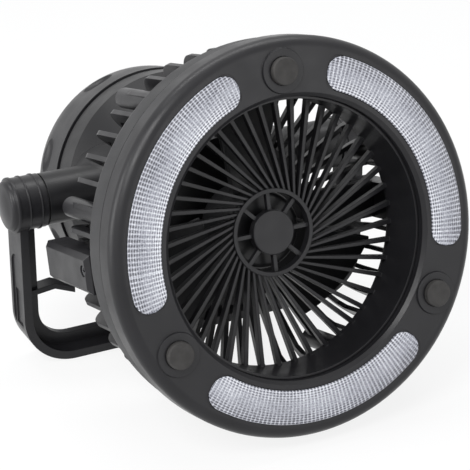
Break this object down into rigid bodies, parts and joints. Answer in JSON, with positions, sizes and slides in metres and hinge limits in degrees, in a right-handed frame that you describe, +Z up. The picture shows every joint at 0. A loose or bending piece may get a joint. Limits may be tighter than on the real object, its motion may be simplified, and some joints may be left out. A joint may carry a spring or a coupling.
{
  "type": "portable camping fan",
  "caption": "Tilting camping fan with a ring light round its grille, a battery drum behind and a U-shaped stand.",
  "frame": {"origin": "on the ground under the axis on which the stand turns, midway between its arms", "axes": "+Z up; -Y is the side the air leaves and the light shines to; +X is to the right of someone who looks at the fan's front"},
  "size_m": [0.231, 0.2473, 0.2132],
  "materials": {
    "charcoal_plastic": "satin",
    "clear_lens": "clear",
    "white_plastic": "gloss",
    "board_white": "gloss",
    "led_yellow": "gloss",
    "rubber_black": "matte",
    "screw_steel": "blackened",
    "rotor_black": "satin",
    "shaft_steel": "ground",
    "motor_steel": "satin",
    "carrier_plastic": "matte",
    "cell_jacket": "gloss",
    "contact_brass": "bright",
    "board_green": "satin",
    "washer_nylon": "matte"
  },
  "bodies": {
    "head": {"front_bezel": "charcoal_plastic", "ring_shell": "charcoal_plastic", "front_grille": "charcoal_plastic", "grille_cap": "charcoal_plastic", "lens_left": "clear_lens", "lens_bottom": "clear_lens", "lens_right": "clear_lens", "light_tray_left": "white_plastic", "light_tray_bottom": "white_plastic", "light_tray_right": "white_plastic", "led_board_left": "board_white", "led_board_bottom": "board_white", "led_board_right": "board_white", "leds": "led_yellow", "foot_top": "rubber_black", "foot_left": "rubber_black", "foot_right": "rubber_black", "ring_screws": "screw_steel", "guard_screws": "screw_steel", "arm_screws": "screw_steel", "motor_can": "motor_steel", "motor_bearings": "shaft_steel", "rear_guard": "charcoal_plastic", "side_arm_left": "charcoal_plastic", "side_arm_right": "charcoal_plastic", "drum_shell": "charcoal_plastic", "cover_seal": "rubber_black", "battery_carrier": "carrier_plastic", "battery_cells": "cell_jacket", "battery_contacts": "contact_brass", "control_board": "board_green", "button_board": "board_green", "button_switches": "rotor_black", "pivot_washer_left": "washer_nylon", "pivot_washer_right": "washer_nylon", "pivot_pin_left": "shaft_steel", "pivot_pin_right": "shaft_steel"},
    "rotor": {"fan_rotor": "rotor_black", "motor_shaft": "shaft_steel", "rotor_nut": "shaft_steel"},
    "stand": {"stand_frame": "charcoal_plastic", "pivot_knob_left": "charcoal_plastic", "pivot_knob_right": "charcoal_plastic"},
    "fan_switch": {"fan_button": "rubber_black"},
    "light_switch": {"light_button": "rubber_black"},
    "rear_cover": {"battery_cover": "charcoal_plastic"}
  },
  "joints": [
    {"name": "rotor_spin", "type": "hinge", "parent": "head", "child": "rotor", "pos_m": [0, -0.12502, 0.10681], "axis": [0, -0.9659, 0.2588], "continuous": true},
    {"name": "stand_tilt", "type": "hinge", "parent": "head", "child": "stand", "pos_m": [0, 0, 0.09816], "axis": [1, 0, 0], "range_deg": [-35, 3]},
    {"name": "fan_button_press", "type": "slide", "parent": "head", "child": "fan_switch", "axis": [-0.6157, -0.204, -0.7612], "range_m": [0, 0.0012], "stiffness_N_per_m": 900},
    {"name": "light_button_press", "type": "slide", "parent": "head", "child": "light_switch", "axis": [-0.6157, -0.204, -0.7612], "range_m": [0, 0.0012], "stiffness_N_per_m": 900},
    {"name": "cover_twist", "type": "hinge", "parent": "head", "child": "rear_cover", "pos_m": [0, -0.12191, 0.1184], "axis": [0, -0.9659, 0.2588], "range_deg": [0, 25]}
  ]
}
